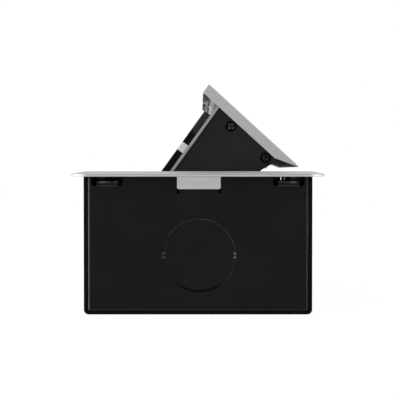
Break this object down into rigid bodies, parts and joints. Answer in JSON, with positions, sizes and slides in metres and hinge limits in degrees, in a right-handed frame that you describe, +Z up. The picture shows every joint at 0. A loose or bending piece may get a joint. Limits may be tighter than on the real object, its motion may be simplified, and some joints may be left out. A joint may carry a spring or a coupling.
{
  "type": "pop-up socket unit",
  "caption": "Flip-up socket unit for a worktop: a flanged frame over a black sheet-metal box, with a hinged brushed lid that lifts a row of sockets.",
  "frame": {"origin": "middle of the box's floor, on its underside", "axes": "+Z up out of the worktop, +X from the lid's free edge to its hinge, +Y along the socket row"},
  "size_m": [0.1212, 0.184, 0.1115],
  "materials": {
    "black_box": "satin black powder coat on steel sheet",
    "black_wall": "satin black powder coat, rubbed along the folds",
    "face_sheet": "grey anodised sheet",
    "anodised_frame": "silver anodised, satin",
    "brushed_lid": "brushed along its length and anodised",
    "black_plate": "satin black powder coat",
    "black_screw": "black oxide",
    "black_moulding": "fine grained black moulding",
    "socket_moulding": "satin black moulding",
    "bright_steel": "zinc plated steel",
    "spring_steel": "tempered spring steel",
    "brass": "plain brass",
    "nylon": "natural nylon",
    "damper_moulding": "dark grey moulding",
    "button_moulding": "satin black moulding",
    "rubber": "black rubber"
  },
  "bodies": {
    "housing": {"box_shell": "black_box", "end_wall_front": "black_wall", "end_wall_rear": "black_wall", "top_frame": "anodised_frame", "frame_screws": "black_screw", "hinge_bracket_front": "bright_steel", "hinge_bracket_rear": "bright_steel", "hinge_bushes": "brass", "bracket_rivets": "bright_steel", "spring_anchor": "bright_steel", "damper_body": "damper_moulding", "damper_screws": "bright_steel", "latch_case": "nylon", "latch_screws": "bright_steel", "bolt_spring": "spring_steel", "open_stop_pads": "rubber", "closing_buffers": "rubber", "terminal_block": "damper_moulding", "earth_stud": "brass", "spiral_spring": "spring_steel"},
    "carrier": {"lid": "brushed_lid", "side_plate_front": "black_plate", "side_plate_rear": "black_plate", "side_plate_screws": "black_screw", "face_plate": "face_sheet", "bezel": "black_moulding", "bezel_clips": "anodised_frame", "socket_module_front": "socket_moulding", "socket_module_middle": "socket_moulding", "contact_sleeves": "brass", "earth_clips": "bright_steel", "usb_module": "black_moulding", "data_module": "black_moulding", "pivot_shaft": "bright_steel", "shaft_clips": "bright_steel", "shaft_spacer": "bright_steel", "gear_sector": "nylon", "sector_rivets": "bright_steel", "striker": "bright_steel", "lip_grips": "rubber"},
    "damper_pinion": {"damper_pinion": "nylon"},
    "latch_bolt": {"latch_bolt": "bright_steel"},
    "release_button": {"release_button": "button_moulding"}
  },
  "joints": [
    {"name": "lid_flip", "type": "hinge", "parent": "housing", "child": "carrier", "pos_m": [0.04489, 0, 0.05066], "axis": [0, -1, 0], "range_deg": [0, 42.4], "stiffness_Nm_per_rad": 0.22, "springref_deg": -68.75, "deforming": ["spiral_spring"]},
    {"name": "pinion_turn", "type": "hinge", "parent": "housing", "child": "damper_pinion", "pos_m": [0.02764, 0, 0.02602], "axis": [0, -1, 0], "range_deg": [-169.6, 0]},
    {"name": "bolt_slide", "type": "slide", "parent": "housing", "child": "latch_bolt", "axis": [1, 0, 0], "range_m": [0, 0.0026], "deforming": ["bolt_spring"]},
    {"name": "button_push", "type": "slide", "parent": "housing", "child": "release_button", "axis": [0, 0, 1], "range_m": [0, 0.0026]}
  ],
  "couplings": [
    {"joint": "pinion_turn", "follows": "lid_flip", "ratio": -4},
    {"joint": "button_push", "follows": "bolt_slide", "ratio": 1}
  ]
}
